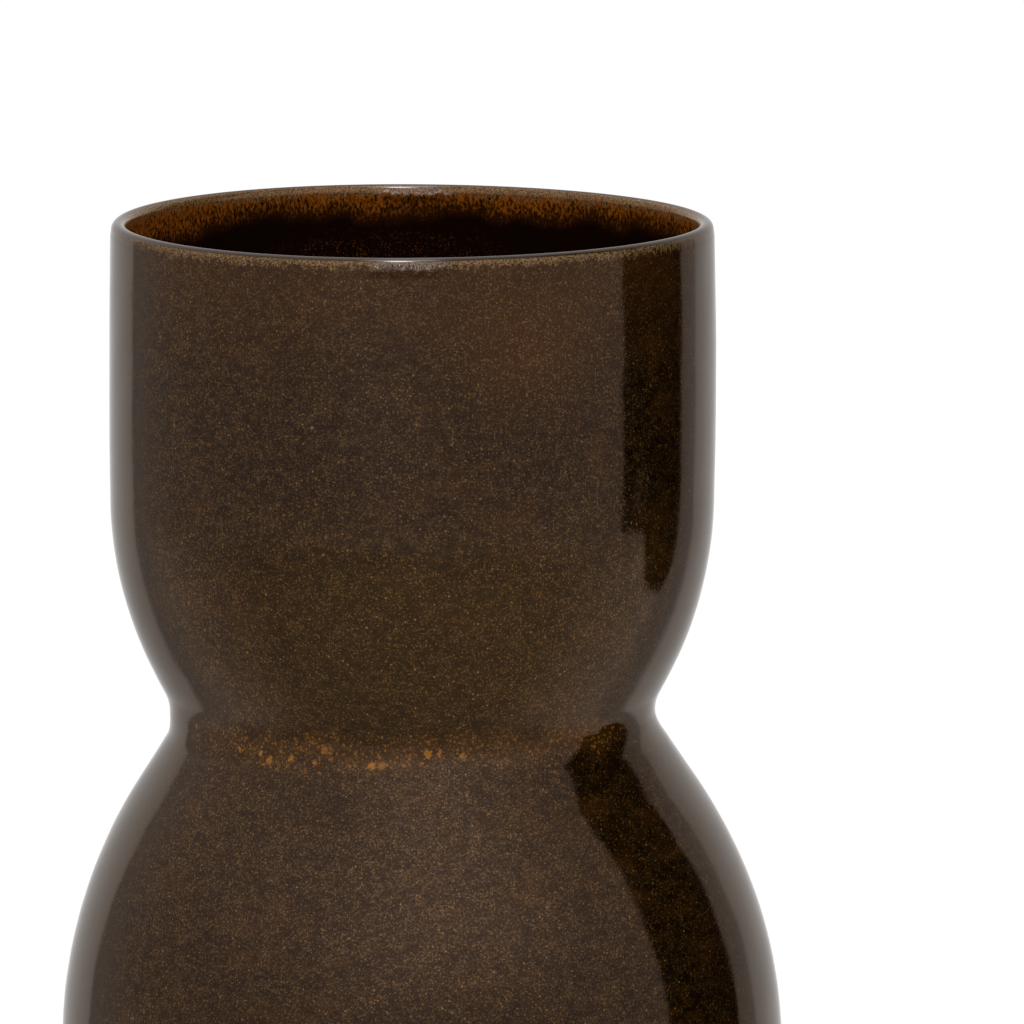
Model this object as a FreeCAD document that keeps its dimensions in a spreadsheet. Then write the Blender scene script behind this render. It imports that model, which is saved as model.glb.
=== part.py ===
import FreeCAD, Part

import math
import os
from types import SimpleNamespace

import Sketcher

# A stoneware vase of two thrown parts: a cup luted with slip onto a round bulb at a narrow waist, and
# glazed inside and out down to a bare foot ring.
#
# Every piece is a body of revolution about +Z. The origin is the centre of the resting plane and all sizes
# are in millimetres. The sizes describe the glazed surface: the clay lies one glaze thickness under it.
# Each half section is drawn in the XZ plane, where "across" is the distance from the axis and "up" is the
# height above the resting plane. Its edge is a chain of arcs and lines that are tangent where they meet,
# except at named corners.

SIZES = [
    ("total_height", 268.5, "resting plane to the crest of the lip"),
    ("lip_radius", 68.0, "crest of the lip"),
    ("lip_crown", 1.8, "radius of the rounded lip"),
    ("barrel_curve", 1230.0, "outward bow of the cup's side"),
    ("barrel_height", 230.0, "height of the cup's widest ring"),
    ("cup_curve", 91.0, "radius that turns the cup in to the waist"),
    ("cup_curve_height", 204.9, "height of that curve's centre"),
    ("bore_curve", 95.0, "radius that turns the cup's inside in"),
    ("bore_curve_height", 210.0, "height where the straight mouth ends"),
    ("waist_radius", 56.3, "narrowest ring"),
    ("waist_height", 153.5, "height of the narrowest ring"),
    ("waist_curve", 10.7, "radius of the hollow at the waist"),
    ("waist_wall", 5.2, "wall at the waist, both glazes included"),
    ("bulb_radius", 83.9, "widest ring"),
    ("bulb_height", 74.2, "height of the widest ring"),
    ("shoulder_curve", 114.0, "radius of the bulb above its widest ring"),
    ("belly_curve", 96.0, "radius of the bulb below its widest ring"),
    ("bulb_wall", 5.4, "wall of the bulb, both glazes included"),
    ("floor_height", 8.5, "glazed inside floor"),
    ("floor_round", 14.0, "radius from the floor into the wall"),
    ("glaze", 0.5, "thickness of each glaze coat"),
    ("glaze_line", 6.6, "height where the outer glaze stops"),
    ("foot_radius", 51.0, "outside of the foot ring"),
    ("foot_height", 4.4, "height of the foot ring"),
    ("foot_width", 6.5, "width of the foot ring"),
    ("foot_recess", 3.2, "height of the hollow inside the foot ring"),
    ("foot_bevel", 0.8, "sponged edges of the foot ring"),
    ("foot_cove", 1.2, "radius between the foot ring and the belly"),
    ("seam", 0.8, "thickness of the slip in the joint"),
    ("seam_key", 0.9, "depth and half width of the V scored in each joint face"),
]

SHEET = "Sizes"
ORIGIN = (-1, 1)  # geometry and point numbers of a sketch's origin
RESTING_LINE, AXIS_LINE = -1, -2  # geometry numbers of a sketch's level and upright axes
START, END, CENTRE = 1, 2, 3  # point numbers on an edge
TANGENT, CORNER = "Tangent", "Coincident"  # the two ways that an edge meets the next one
LEVEL, UPRIGHT = "Horizontal", "Vertical"  # the two ways that a line may be held
OUTWARD, UPWARD, INWARD = 0.0, math.pi / 2, math.pi  # angles on an arc
WAIST = 4  # place of the waist's arc in the outer and the inner chain, counted from the lip's crest
FULL_TURN = 360.0
SAME_PLACE = 1e-6  # millimetres
CUP_SIDE, BULB_SIDE = 1, -1  # the joint face above the slip and the one below it
PARTS_FOLDER = "parts"


class Length:
    """A size with the sheet expression that binds it, or with None where the constraints settle it."""

    def __init__(self, value, text=None):
        self.value = value
        self.text = text

    def __add__(self, other):
        return Length(self.value + other.value, f"{self.text} + {other.text}")

    def __sub__(self, other):
        return Length(self.value - other.value, f"{self.text} - ({other.text})")

    def __truediv__(self, number):
        return Length(self.value / number, f"({self.text}) / {number}")


FREE = Length(0.0)
ON_AXIS = Length(0.0, "0")
RESTING = Length(0.0, "0")
SURFACE = Length(0.0, "0")


class Arc:
    """An arc of a section's edge, followed from its angle begin to its angle finish."""

    def __init__(self, across, up, radius, begin=OUTWARD, finish=OUTWARD):
        self.across = across
        self.up = up
        self.radius = radius
        self.begin = begin
        self.finish = finish

    def point(self, angle):
        across = self.across.value + self.radius.value * math.cos(angle)
        return across, self.up.value + self.radius.value * math.sin(angle)

    def finish_at(self, height):
        """End the arc where it comes down to a height, on its outward side."""
        self.finish = math.asin((height.value - self.up.value) / self.radius.value)

    def reversed(self):
        return Arc(self.across, self.up, self.radius, self.finish, self.begin)


class Line:
    """A straight stretch of a section's edge. It may be held upright or level by a constraint."""

    def __init__(self, start, end, lie=None):
        self.start = start
        self.end = end
        self.lie = lie

    def reversed(self):
        return Line(self.end, self.start, self.lie)


def plain(corner):
    """A corner's two coordinates as numbers."""
    return corner[0].value, corner[1].value


def reverse_chain(chain):
    return [edge.reversed() for edge in reversed(chain)]


def nest(known, arc):
    """Slide an arc across until it is tangent inside or around a known one, and let them meet there."""
    difference = known.radius.value - arc.radius.value
    rise = known.up.value - arc.up.value
    reach = math.sqrt(difference ** 2 - rise ** 2)
    arc.across = Length(known.across.value + math.copysign(reach, difference))
    small, big = sorted((known, arc), key=lambda item: item.radius.value)
    meeting = math.atan2(small.up.value - big.up.value, small.across.value - big.across.value)
    known.finish = meeting
    arc.begin = meeting


def flank_angle(arc, waist, side):
    """The angle where a straight flank leaves an arc to run tangent into the waist above or below it."""
    across = waist.across.value - arc.across.value
    up = waist.up.value - arc.up.value
    lean = math.acos((arc.radius.value + waist.radius.value) / math.hypot(across, up))
    return math.atan2(up, across) + side * lean


def waist_chain(cup, waist, shoulder):
    """The cup's curve, the hollow of the waist and the shoulder, with straight flanks between them."""
    cup.finish = flank_angle(cup, waist, CUP_SIDE)
    waist.begin = cup.finish + INWARD
    shoulder.begin = flank_angle(shoulder, waist, BULB_SIDE)
    waist.finish = shoulder.begin + INWARD
    upper_flank = Line(cup.point(cup.finish), waist.point(waist.begin))
    lower_flank = Line(waist.point(waist.finish), shoulder.point(shoulder.begin))
    return [cup, upper_flank, waist, lower_flank, shoulder]


def outer_chain(size, depth):
    """The outside, from the crest of the lip down to the glaze line, at a depth under the glaze."""
    crown_height = size.total_height - size.lip_crown
    crown = Arc(size.lip_radius, crown_height, size.lip_crown - depth, UPWARD)
    barrel = Arc(FREE, size.barrel_height, size.barrel_curve - depth)
    nest(crown, barrel)
    cup = Arc(FREE, size.cup_curve_height, size.cup_curve - depth)
    nest(barrel, cup)
    waist = Arc(size.waist_radius + size.waist_curve, size.waist_height, size.waist_curve + depth)
    shoulder_across = size.bulb_radius - size.shoulder_curve
    shoulder = Arc(shoulder_across, size.bulb_height, size.shoulder_curve - depth)
    neck = waist_chain(cup, waist, shoulder)
    belly = Arc(FREE, size.bulb_height, size.belly_curve - depth)
    nest(shoulder, belly)
    belly.finish_at(size.glaze_line)
    return [crown, barrel, *neck, belly]


def inner_chain(size, depth):
    """The inside, from the crest of the lip down to the middle of the floor, at a depth under the glaze."""
    crown_height = size.total_height - size.lip_crown
    crown = Arc(size.lip_radius, crown_height, size.lip_crown - depth, UPWARD, INWARD)
    mouth_radius = size.lip_radius.value - size.lip_crown.value
    bore = Arc(Length(mouth_radius - size.bore_curve.value), size.bore_curve_height, size.bore_curve + depth)
    mouth = Line(crown.point(INWARD), bore.point(OUTWARD), UPRIGHT)
    waist_reach = size.waist_curve + size.waist_wall
    waist = Arc(size.waist_radius + size.waist_curve, size.waist_height, waist_reach - depth)
    shoulder_across = size.bulb_radius - size.shoulder_curve
    shoulder = Arc(shoulder_across, size.bulb_height, size.shoulder_curve - size.bulb_wall + depth)
    neck = waist_chain(bore, waist, shoulder)
    belly = Arc(FREE, size.bulb_height, size.belly_curve - size.bulb_wall + depth)
    nest(shoulder, belly)
    corner = Arc(FREE, size.floor_height + size.floor_round, size.floor_round + depth)
    nest(belly, corner)
    corner.finish = -UPWARD
    floor_edge = corner.point(-UPWARD)
    floor = Line(floor_edge, (0.0, floor_edge[1]), LEVEL)
    return [crown, mouth, *neck, belly, corner, floor]


class HalfSection:
    """A closed half section in a body's XZ plane, added edge by edge round its outline."""

    def __init__(self, body, name):
        self.sketch = body.newObject("Sketcher::SketchObject", name)
        plane = next(item for item in body.Origin.OriginFeatures if item.Role == "XZ_Plane")
        self.sketch.AttachmentSupport = [(plane, "")]
        self.sketch.MapMode = "FlatFace"
        self.edges = []

    def constrain(self, kind, *targets):
        return self.sketch.addConstraint(Sketcher.Constraint(kind, *targets))

    def bind(self, kind, *targets, length):
        index = self.constrain(kind, *targets, length.value)
        self.sketch.setExpression(f"Constraints[{index}]", length.text)

    def hold(self, number, point, across=FREE, up=FREE):
        """Fix a point's distance from the axis, its height, or both."""
        if across is ON_AXIS:
            self.constrain("PointOnObject", number, point, AXIS_LINE)
        elif across.text is not None:
            self.bind("DistanceX", *ORIGIN, number, point, length=across)
        if up is RESTING:
            self.constrain("PointOnObject", number, point, RESTING_LINE)
        elif up.text is not None:
            self.bind("DistanceY", *ORIGIN, number, point, length=up)

    def add_arc(self, arc):
        low, high = sorted((arc.begin, arc.finish))
        centre = FreeCAD.Vector(arc.across.value, arc.up.value, 0)
        circle = Part.Circle(centre, FreeCAD.Vector(0, 0, 1), arc.radius.value)
        number = self.sketch.addGeometry(Part.ArcOfCircle(circle, low, high))
        if arc.radius.text is not None:
            self.bind("Radius", number, length=arc.radius)
        self.hold(number, CENTRE, arc.across, arc.up)
        first, last = (START, END) if arc.begin < arc.finish else (END, START)
        self.edges.append((number, first, last))

    def add_line(self, line):
        start = FreeCAD.Vector(*line.start, 0)
        end = FreeCAD.Vector(*line.end, 0)
        number = self.sketch.addGeometry(Part.LineSegment(start, end))
        if line.lie is not None:
            self.constrain(line.lie, number)
        self.edges.append((number, START, END))

    def join(self, kind, place=-2, next_place=-1):
        """Make the end of one edge meet the start of another."""
        number, _, last = self.edges[place]
        next_number, first, _ = self.edges[next_place]
        self.constrain(kind, number, last, next_number, first)

    def add_smooth(self, chain, first_joint=CORNER):
        """Add edges that each run tangent into the next."""
        joint = first_joint
        for edge in chain:
            if isinstance(edge, Arc):
                self.add_arc(edge)
            else:
                self.add_line(edge)
            if len(self.edges) > 1:
                self.join(joint)
            joint = TANGENT

    def add_corners(self, corners, end):
        """Add straight edges from corner to corner, each corner held by its sizes, and on to a free end."""
        starts = [plain(corner) for corner in corners]
        for corner, start, finish in zip(corners, starts, [*starts[1:], end]):
            self.add_line(Line(start, finish))
            self.hold_last(START, *corner)
            if len(self.edges) > 1:
                self.join(CORNER)

    def add_level_line(self, start, end):
        """Add a level edge that starts at a corner."""
        self.add_line(Line(start, end, LEVEL))
        self.join(CORNER)

    def add_crest_line(self, size, inner_crown, outer_crown):
        """Close the section through a glaze coat's thickness at the crest of the lip."""
        self.add_line(Line(inner_crown.point(UPWARD), outer_crown.point(UPWARD), UPRIGHT))
        self.join(CORNER)
        self.hold_last(START, across=size.lip_radius)
        self.close()

    def hold_last(self, point, across=FREE, up=FREE):
        """Hold a point of the newest edge."""
        self.hold(self.edges[-1][0], point, across, up)

    def lay_last(self, lie):
        """Make the newest edge upright or level."""
        self.constrain(lie, self.edges[-1][0])

    def close(self):
        """Join the last edge to the first at a corner."""
        self.join(CORNER, -1, 0)


def make_sheet(doc):
    """Put the driving dimensions in a sheet, and return them as lengths by name."""
    sheet = doc.addObject("Spreadsheet::Sheet", SHEET)
    for row, (name, value, note) in enumerate(SIZES, start=1):
        sheet.set(f"A{row}", name)
        sheet.set(f"B{row}", str(value))
        sheet.setAlias(f"B{row}", name)
        sheet.set(f"C{row}", note)
    doc.recompute()
    lengths = {name: Length(float(sheet.get(name)), f"{SHEET}.{name}") for name, _, _ in SIZES}
    return SimpleNamespace(**lengths)


def make_body(doc, name):
    body = doc.addObject("PartDesign::Body", name)
    body.Label = name
    body.Placement = FreeCAD.Placement()
    return body


def turn(body, kind, name, section):
    """Turn a half section once round the axis, to add it to the body or to cut it away."""
    feature = body.newObject(f"PartDesign::{kind}", name)
    feature.Profile = section.sketch
    feature.ReferenceAxis = (section.sketch, ["V_Axis"])
    feature.Angle = FULL_TURN
    body.Document.recompute()


def cut_round(body, name, corners):
    """Cut a ring or a disc out of the body, its section given corner by corner."""
    before = body.Shape.Volume
    section = HalfSection(body, f"{name}_section")
    section.add_corners(corners, plain(corners[0]))
    section.close()
    turn(body, "Groove", name, section)
    if body.Shape.Volume >= before:
        raise RuntimeError(f"{name} cut nothing from {body.Label}")


def ring_edges(body, radius, height):
    """Names of the body's circles that have a given radius and height."""
    names = []
    for number, edge in enumerate(body.Shape.Edges, start=1):
        box = edge.BoundBox
        level = box.ZLength < SAME_PLACE and abs(box.ZMax - height.value) < SAME_PLACE
        if level and abs(box.XMax - radius.value) < SAME_PLACE:
            names.append(f"Edge{number}")
    return names


def dress(body, kind, name, edges, size_name, length):
    """Bevel or round some edges of the body."""
    base = body.Tip
    feature = body.newObject(f"PartDesign::{kind}", name)
    feature.Base = (base, edges)
    feature.setExpression(size_name, length.text)
    body.Document.recompute()


def joint_face(size, side):
    """Height of the clay's joint face, on the cup above the slip or on the bulb below it."""
    half = size.seam / 2
    return size.waist_height + half if side == CUP_SIDE else size.waist_height - half


def key_corners(size, side):
    """Corners of the V in a joint face, from the outside in."""
    middle = size.waist_radius - size.waist_wall / 2
    face = joint_face(size, side)
    tip = face + size.seam_key if side == CUP_SIDE else face - size.seam_key
    return [(middle + size.seam_key, face), (middle, tip), (middle - size.seam_key, face)]


def joint_angle(size, waist, side):
    """The angle where the waist's arc meets a joint face."""
    return INWARD - side * math.asin(size.seam.value / 2 / waist.radius.value)


def make_upper_cup(doc, size):
    """The thrown cup: a nearly straight mouth, turned in below to the waist, where it sits on the slip."""
    body = make_body(doc, "upper_cup")
    crown, barrel, cup, flank, waist, *_ = outer_chain(size, size.glaze)
    crown.begin = INWARD
    waist.finish = joint_angle(size, waist, CUP_SIDE)
    _, mouth, bore, inner_flank, inner_waist, *_ = inner_chain(size, size.glaze)
    inner_waist.finish = joint_angle(size, inner_waist, CUP_SIDE)

    section = HalfSection(body, "cup_section")
    inside = reverse_chain([mouth, bore, inner_flank, inner_waist])
    section.add_smooth([*inside, crown, barrel, cup, flank, waist])
    face_ends = waist.point(waist.finish), inner_waist.point(inner_waist.finish)
    section.add_level_line(*face_ends)
    section.hold_last(START, up=joint_face(size, CUP_SIDE))
    section.close()
    turn(body, "Revolution", "thrown_wall", section)
    cut_round(body, "seam_key", key_corners(size, CUP_SIDE))
    return body


def make_lower_bulb(doc, size):
    """The thrown bulb: a floor, a full belly, a shoulder drawn in to the waist and a turned foot ring."""
    body = make_body(doc, "lower_bulb")
    *_, waist, flank, shoulder, belly = outer_chain(size, size.glaze)
    waist.begin = joint_angle(size, waist, BULB_SIDE)
    belly.finish_at(size.foot_height)
    inside = inner_chain(size, size.glaze)[WAIST:]
    inner_waist, floor = inside[0], inside[-1]
    inner_waist.begin = joint_angle(size, inner_waist, BULB_SIDE)

    section = HalfSection(body, "bulb_section")
    section.add_smooth([waist, flank, shoulder, belly])
    foot = [(size.foot_radius, size.foot_height), (size.foot_radius, RESTING), (ON_AXIS, RESTING)]
    section.add_level_line(belly.point(belly.finish), plain(foot[0]))
    section.add_corners(foot, floor.end)
    section.lay_last(UPRIGHT)
    section.add_smooth(reverse_chain(inside))
    section.add_level_line(inner_waist.point(inner_waist.begin), waist.point(waist.begin))
    section.hold_last(START, up=joint_face(size, BULB_SIDE))
    section.close()
    turn(body, "Revolution", "thrown_wall", section)
    cut_round(body, "seam_key", key_corners(size, BULB_SIDE))
    turn_foot(body, size)
    return body


def turn_foot(body, size):
    """Hollow the bottom inside the foot ring, cove the ring into the belly and bevel its edges."""
    inner_radius = size.foot_radius - size.foot_width
    hollow = [(ON_AXIS, RESTING), (inner_radius, RESTING), (inner_radius, size.foot_recess)]
    cut_round(body, "foot_hollow", [*hollow, (ON_AXIS, size.foot_recess)])
    cove = ring_edges(body, size.foot_radius, size.foot_height)
    dress(body, "Fillet", "foot_cove", cove, "Radius", size.foot_cove)
    edges = ring_edges(body, size.foot_radius, RESTING) + ring_edges(body, inner_radius, RESTING)
    dress(body, "Chamfer", "foot_bevel", edges, "Size", size.foot_bevel)


def make_waist_slip_seam(doc, size):
    """The ring of slip that fills the joint between the cup and the bulb, with a V ridge on each side."""
    body = make_body(doc, "waist_slip_seam")
    waist = outer_chain(size, size.glaze)[WAIST]
    waist.begin = joint_angle(size, waist, CUP_SIDE)
    waist.finish = joint_angle(size, waist, BULB_SIDE)
    inner_waist = inner_chain(size, size.glaze)[WAIST]
    inner_waist.begin = joint_angle(size, inner_waist, BULB_SIDE)
    inner_waist.finish = joint_angle(size, inner_waist, CUP_SIDE)
    lower_ridge = key_corners(size, BULB_SIDE)
    upper_ridge = key_corners(size, CUP_SIDE)[::-1]

    section = HalfSection(body, "slip_section")
    section.add_smooth([waist])
    section.add_level_line(waist.point(waist.finish), plain(lower_ridge[0]))
    section.add_corners(lower_ridge, inner_waist.point(inner_waist.begin))
    section.lay_last(LEVEL)
    section.add_smooth([inner_waist])
    section.add_level_line(inner_waist.point(inner_waist.finish), plain(upper_ridge[0]))
    section.add_corners(upper_ridge, waist.point(waist.begin))
    section.lay_last(LEVEL)
    section.close()
    turn(body, "Revolution", "slip", section)
    return body


def make_outer_glaze(doc, size):
    """The outer glaze coat, from the crest of the lip down over the belly to a rolled edge."""
    body = make_body(doc, "outer_glaze")
    glazed = outer_chain(size, SURFACE)
    clay = outer_chain(size, size.glaze)
    belly = glazed[-1]
    clay[-1].finish = belly.finish
    half = size.glaze.value / 2
    across, up = Arc(belly.across, belly.up, Length(belly.radius.value - half)).point(belly.finish)
    roll = Arc(Length(across), Length(up), Length(half), belly.finish, belly.finish - INWARD)

    section = HalfSection(body, "coat_section")
    section.add_smooth(glazed)
    section.hold_last(START, up=size.glaze_line)
    section.add_smooth([roll, *reverse_chain(clay)], TANGENT)
    section.add_crest_line(size, clay[0], glazed[0])
    turn(body, "Revolution", "coat", section)
    return body


def make_inner_glaze(doc, size):
    """The liner glaze, from the crest of the lip down the inside and over the floor."""
    body = make_body(doc, "inner_glaze")
    glazed = inner_chain(size, SURFACE)
    clay = inner_chain(size, size.glaze)

    section = HalfSection(body, "liner_section")
    section.add_smooth(glazed)
    section.add_line(Line(glazed[-1].end, clay[-1].end, UPRIGHT))
    section.join(CORNER)
    section.hold_last(START, across=ON_AXIS)
    section.add_smooth(reverse_chain(clay))
    section.add_crest_line(size, clay[0], glazed[0])
    turn(body, "Revolution", "liner", section)
    return body


def check(doc, bodies):
    """Stop if any object failed to compute, a section is loose or a piece isn't one sound solid."""
    for item in doc.Objects:
        if "Invalid" in item.State or "Error" in item.State:
            raise RuntimeError(f"{item.Name} failed: {item.State}")
        if item.TypeId == "Sketcher::SketchObject" and not item.FullyConstrained:
            raise RuntimeError(f"{item.Name} in {item.getParentGeoFeatureGroup().Label} is loose")
    for body in bodies:
        shape = body.Shape
        if shape.isNull() or not shape.isValid() or len(shape.Solids) != 1:
            raise RuntimeError(f"{body.Label} isn't one sound solid")


def main():
    doc = FreeCAD.newDocument("stoneware_vase")
    size = make_sheet(doc)
    makers = (make_lower_bulb, make_upper_cup, make_waist_slip_seam, make_outer_glaze, make_inner_glaze)
    bodies = [maker(doc, size) for maker in makers]
    doc.recompute()
    check(doc, bodies)
    os.makedirs(PARTS_FOLDER, exist_ok=True)
    for body in bodies:
        body.Shape.exportStep(os.path.join(PARTS_FOLDER, f"{body.Label}.step"))
        print(f"{body.Label}: {body.Shape.Volume:.0f} mm3")


main()
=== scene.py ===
import math

import bpy
import numpy as np
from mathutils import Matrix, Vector


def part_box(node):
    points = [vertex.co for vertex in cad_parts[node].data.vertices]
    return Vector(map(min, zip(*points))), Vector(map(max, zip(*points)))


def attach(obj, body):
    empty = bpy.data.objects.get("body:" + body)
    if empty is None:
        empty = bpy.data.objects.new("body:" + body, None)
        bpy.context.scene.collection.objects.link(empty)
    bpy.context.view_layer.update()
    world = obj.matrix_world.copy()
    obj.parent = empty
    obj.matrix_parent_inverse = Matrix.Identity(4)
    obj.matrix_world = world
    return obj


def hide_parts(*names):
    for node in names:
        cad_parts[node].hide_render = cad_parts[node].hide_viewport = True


# The looks of a hand-thrown stoneware vase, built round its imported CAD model.
#
# Every CAD node is a perfect body of revolution, so each one is replaced by pieces that have the same
# section but carry what the potter's hand and the kiln leave: a joint set a little to one side, a lip
# that isn't quite round, faint throwing rings, and a glaze that is thick in one place and thin in another.
# The sections are read from the CAD meshes. Lengths in the geometry code are in millimetres until a mesh
# is made. Azimuth 0 faces the camera, towards -Y, and grows towards +X.

MM = 0.001
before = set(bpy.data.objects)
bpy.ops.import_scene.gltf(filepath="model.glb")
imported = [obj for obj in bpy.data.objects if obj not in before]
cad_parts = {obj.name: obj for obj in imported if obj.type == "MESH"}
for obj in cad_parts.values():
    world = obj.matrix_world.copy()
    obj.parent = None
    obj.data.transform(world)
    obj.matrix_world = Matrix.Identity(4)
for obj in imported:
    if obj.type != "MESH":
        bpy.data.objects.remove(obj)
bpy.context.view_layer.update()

LIP_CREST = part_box("outer_glaze")[1].z / MM
FOOT_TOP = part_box("outer_glaze")[0].z / MM
WAIST = (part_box("waist_slip_seam")[0].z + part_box("waist_slip_seam")[1].z) / 2 / MM


# ---------------------------------------------------------------- sections read from the CAD meshes

SAME_POINT = 6  # decimals of a metre that tell two CAD vertices apart
ON_PLANE = 1e-6  # metres
CORNER_TURN = math.radians(24.0)  # a sharper turn than this is a real corner of a section
FINE_STEP = 0.05
LONG_STEP = 3.0  # a step this many times longer than the next one is a straight stretch


def section_outline(node):
    """The node's half section as (across, up) points, anticlockwise, and whether it closes on itself."""
    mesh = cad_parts[node].data
    place, neighbours = {}, {}
    for vertex in mesh.vertices:
        x, y, z = vertex.co
        if abs(y) < ON_PLANE and x > -ON_PLANE:
            place[vertex.index] = (round(x, SAME_POINT), round(z, SAME_POINT))
    for edge in mesh.edges:
        a, b = (place.get(index) for index in edge.vertices)
        if a and b and a != b:
            neighbours.setdefault(a, set()).add(b)
            neighbours.setdefault(b, set()).add(a)
    ends = sorted(point for point, others in neighbours.items() if len(others) == 1)
    start = ends[0] if ends else max(neighbours, key=lambda point: (point[1], point[0]))
    chain, last = [start], None
    while True:
        ahead = [point for point in sorted(neighbours[chain[-1]]) if point != last]
        if not ahead or (ahead[0] == start and last is not None):
            break
        last = chain[-1]
        chain.append(ahead[0])
    if ends:  # the outline reaches the axis along a flat disc, which has no seam of its own
        chain = [(0.0, chain[0][1]), *chain, (0.0, chain[-1][1])]
    points = np.array(chain) / MM
    after = np.roll(points, -1, axis=0)
    if (points[:, 0] * after[:, 1] - after[:, 0] * points[:, 1]).sum() < 0:
        points = points[::-1]
    return points, not ends


def smooth_runs(node):
    """The node's outline cut at its corners into smooth runs, in order, and whether it closes on itself."""
    points, closed = section_outline(node)
    steps = np.diff(np.vstack([points, points[:1]]), axis=0)
    heading = np.arctan2(steps[:, 1], steps[:, 0])
    turn = np.abs((heading - np.roll(heading, 1) + math.pi) % (2 * math.pi) - math.pi)
    if closed:
        corners = np.flatnonzero(turn > CORNER_TURN)
        points = np.roll(points, -corners[0], axis=0)
        points = np.vstack([points, points[:1]])
        corners = np.append(corners - corners[0], len(points) - 1)
    else:
        turn[[0, -1]] = math.pi
        corners = np.flatnonzero(turn > CORNER_TURN)
    return [fine_run(points[a:b + 1]) for a, b in zip(corners[:-1], corners[1:])], closed


def fine_run(points):
    """A run's points and outward normals every FINE_STEP, on a smooth curve through its CAD points."""
    steps = np.diff(points, axis=0)
    lengths = np.hypot(*steps.T)
    ways = steps / lengths[:, None]
    before, after = lengths[:-1, None], lengths[1:, None]
    middle = (ways[:-1] * after + ways[1:] * before) / (before + after)
    middle = np.where(before > LONG_STEP * after, ways[:-1], middle)
    middle = np.where(after > LONG_STEP * before, ways[1:], middle)
    if len(points) > 2:
        tangents = np.vstack([2 * ways[0] - middle[0], middle, 2 * ways[-1] - middle[-1]])
    else:
        tangents = np.vstack([ways, ways])
    tangents /= np.hypot(*tangents.T)[:, None]
    along = np.concatenate([[0.0], np.cumsum(lengths)])
    fine = np.linspace(0.0, along[-1], max(4, int(along[-1] / FINE_STEP)) + 1)
    piece = np.clip(np.searchsorted(along, fine, side="right") - 1, 0, len(lengths) - 1)
    t = ((fine - along[piece]) / lengths[piece])[:, None]
    start, end = points[piece], points[piece + 1]
    leave, arrive = (tangents[piece + k] * lengths[piece][:, None] for k in (0, 1))
    curve = ((2 * t**3 - 3 * t**2 + 1) * start + (t**3 - 2 * t**2 + t) * leave
             + (3 * t**2 - 2 * t**3) * end + (t**3 - t**2) * arrive)
    slope = ((6 * t**2 - 6 * t) * (start - end) + (3 * t**2 - 4 * t + 1) * leave
             + (3 * t**2 - 2 * t) * arrive)
    slope /= np.hypot(*slope.T)[:, None]
    return curve, np.stack([slope[:, 1], -slope[:, 0]], 1)


def straight_run(start, end):
    return fine_run(np.array([start, end]))


def cut_at(runs, height, keep_top):
    """The part of a closed outline above or below a height, closed with a level run."""
    kept = []
    for curve, normals in runs:
        above = curve[:, 1] - height
        index = np.arange(len(curve))
        crossed = np.flatnonzero(above[:-1] * above[1:] < 0)
        cuts = crossed + above[crossed] / (above[crossed] - above[crossed + 1])
        ends = np.concatenate([[0.0], cuts, [len(curve) - 1.0]])
        for first, last in zip(ends[:-1], ends[1:]):
            place = np.concatenate([[first], index[(index > first) & (index < last)], [last]])
            part = [np.stack([np.interp(place, index, column) for column in values.T], 1)
                    for values in (curve, normals)]
            if (np.median(part[0][:, 1]) > height) == keep_top:
                kept.append(tuple(part))
    gaps = [np.hypot(*(kept[k][0][0] - kept[k - 1][0][-1])) for k in range(len(kept))]
    first = int(np.argmax(gaps))
    kept = kept[first:] + kept[:first]
    return [*kept, straight_run(kept[-1][0][-1], kept[0][0][0])]


# ---------------------------------------------------------------- what the hand and the kiln leave


def ease(value, low, high):
    """0 below low, 1 above high, and smooth between them."""
    t = np.clip((value - low) / (high - low), 0.0, 1.0)
    return t * t * (3 - 2 * t)


def hill(value, middle, reach):
    """1 at the middle, falling smoothly to 0 at a reach on both sides."""
    return 1.0 - ease(np.abs(value - middle), 0.0, reach)


def turned_by(azimuth, other):
    """The angle between two directions round the pot, from 0 to half a turn."""
    return np.abs((azimuth - other + math.pi) % (2 * math.pi) - math.pi)


def make_waves(seed, count, rounds, lengths, height):
    """Seeded waves on a wall, each one (times round, length upward, phase, height)."""
    pick = np.random.default_rng(seed)
    return [
        (int(pick.integers(*rounds)), float(pick.uniform(*lengths)) * float(pick.choice([-1, 1])),
         float(pick.uniform(0, 2 * math.pi)), height / math.sqrt(count))
        for _ in range(count)
    ]


def ripple(azimuth, up, waves):
    """The sum of a set of waves at a height, round the pot."""
    return sum(
        height * np.sin(times * azimuth + 2 * math.pi * up / length + phase)
        for times, length, phase, height in waves
    )


BODY_WAVES = make_waves(seed=11, count=7, rounds=(1, 7), lengths=(45.0, 140.0), height=0.05)
SKIN_WAVES = make_waves(seed=23, count=16, rounds=(6, 30), lengths=(9.0, 40.0), height=0.014)
THROWING_RINGS = make_waves(seed=31, count=4, rounds=(0, 2), lengths=(5.0, 11.0), height=0.006)

EXTRA_COAT = 0.13  # how much thicker the outer glaze is than its nominal coat
JOINT_STEP = 1.0  # how far to one side the bulb sits under the cup
JOINT_LOW, JOINT_HIGH = WAIST - 6.5, WAIST + 0.5  # the heights between which that step is made
BULB_LEAN = 1.25  # how much farther the bulb's own centre line leans that way
LEAN_TOP, LEAN_DEPTH = WAIST - 3.5, 90.0  # where that lean starts, and how far down it is complete
RIM_SHIFT = -0.65  # the lip's centre, pulled the other way
RIM_LOBES = 0.8  # the three-cornered shape that lifting a wet pot gives its lip
RIM_START = WAIST + 18.0  # the height above which the lip's shape begins
WAVES_START = 30.0  # the waves fade out between this radius and the axis

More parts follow.
